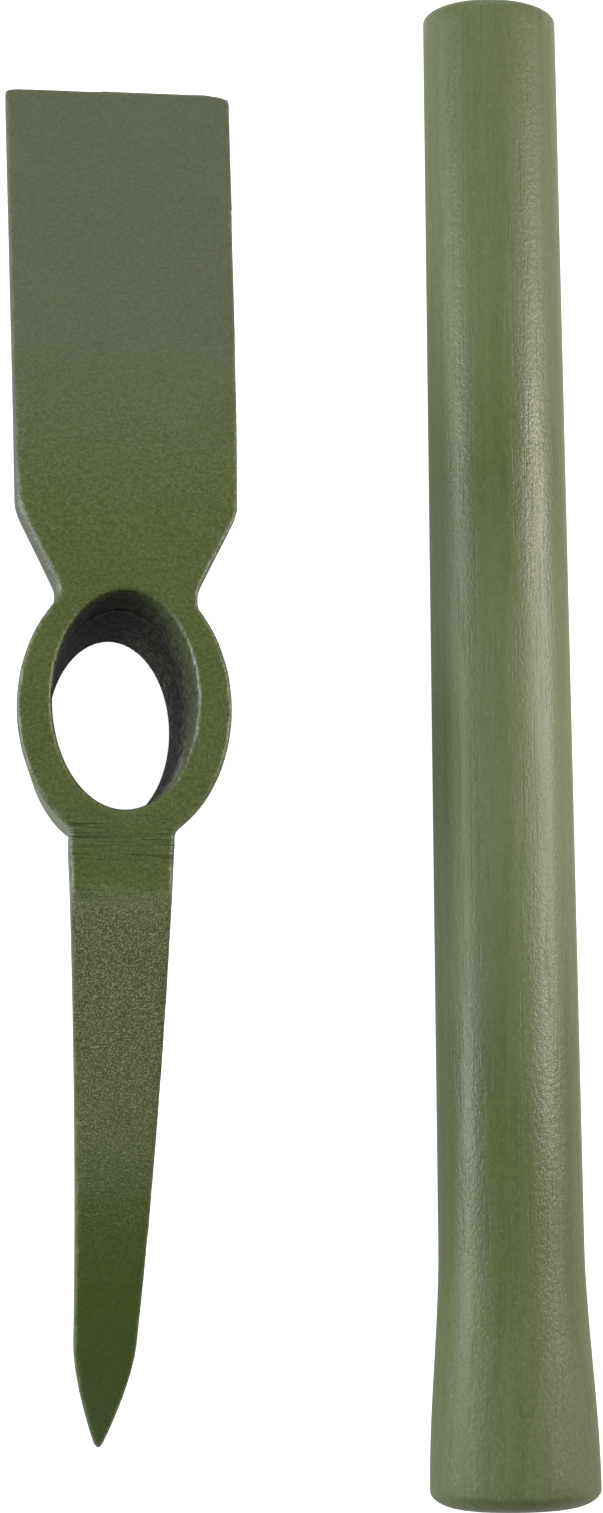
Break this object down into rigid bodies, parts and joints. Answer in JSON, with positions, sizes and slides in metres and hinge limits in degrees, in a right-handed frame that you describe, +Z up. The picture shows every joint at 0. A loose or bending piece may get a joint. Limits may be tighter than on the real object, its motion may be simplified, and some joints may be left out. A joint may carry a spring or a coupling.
{
  "type": "grub hoe",
  "caption": "Forged grub hoe head with a flat adze blade, a tapered oval eye and a curved pick, laid beside its loose oval wooden handle with a flared butt.",
  "frame": {"origin": "on the surface that the set lies on, under the middle of its bounding box", "axes": "+Z up; +Y along the set, towards the adze's edge and the handle's slim end; +X from the head to the handle"},
  "size_m": [0.1651, 0.4172, 0.0531],
  "materials": {
    "painted_steel": "satin olive green paint over forged steel, with bare dark scale inside the eye",
    "painted_wood": "thin satin olive green paint over turned hardwood, with the grain showing through"
  },
  "bodies": {
    "head": {"head": "painted_steel"},
    "handle": {"handle": "painted_wood"}
  },
  "joints": [
    {"name": "handle_lift", "type": "slide", "parent": "head", "child": "handle", "axis": [0, 0, 1], "range_m": [0, 0.15]}
  ]
}
